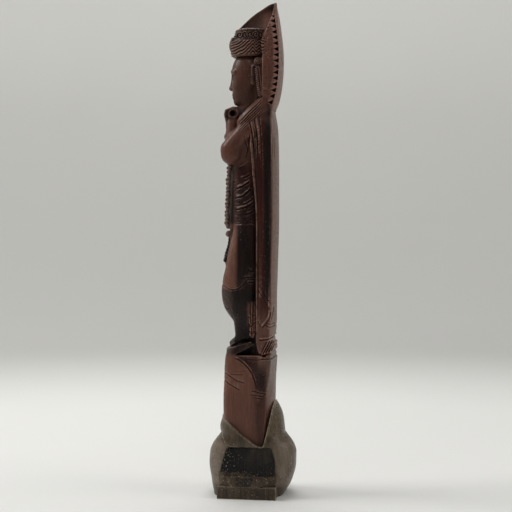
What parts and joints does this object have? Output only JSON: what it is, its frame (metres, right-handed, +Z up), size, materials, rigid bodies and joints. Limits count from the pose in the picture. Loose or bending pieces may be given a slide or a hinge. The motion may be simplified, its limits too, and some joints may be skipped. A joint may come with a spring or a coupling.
{
  "type": "carved wooden figure on stand",
  "caption": "Slender hardwood carving of a cloaked, crowned flute player with a pointed halo, on a log block pegged into a separate petal-rimmed stand",
  "frame": {"origin": "centre of the bounding box's bottom, on the surface that the stand rests on", "axes": "+Z up, the figure faces -Y, its own left side is +X"},
  "size_m": [0.068, 0.082, 0.46],
  "materials": {
    "carved_wood": "dark red-brown hardwood, waxed and hand-polished, worn paler on the edges",
    "flute_wood": "dark brown turned hardwood, waxed",
    "stand_wood": "dark olive-brown hardwood, waxed, with near-black side panels and chipped edges",
    "peg_wood": "plain pale hardwood dowel"
  },
  "bodies": {
    "root": {"figure": "carved_wood", "flute": "flute_wood", "stand": "stand_wood", "peg_front": "peg_wood", "peg_rear": "peg_wood"}
  },
  "joints": []
}
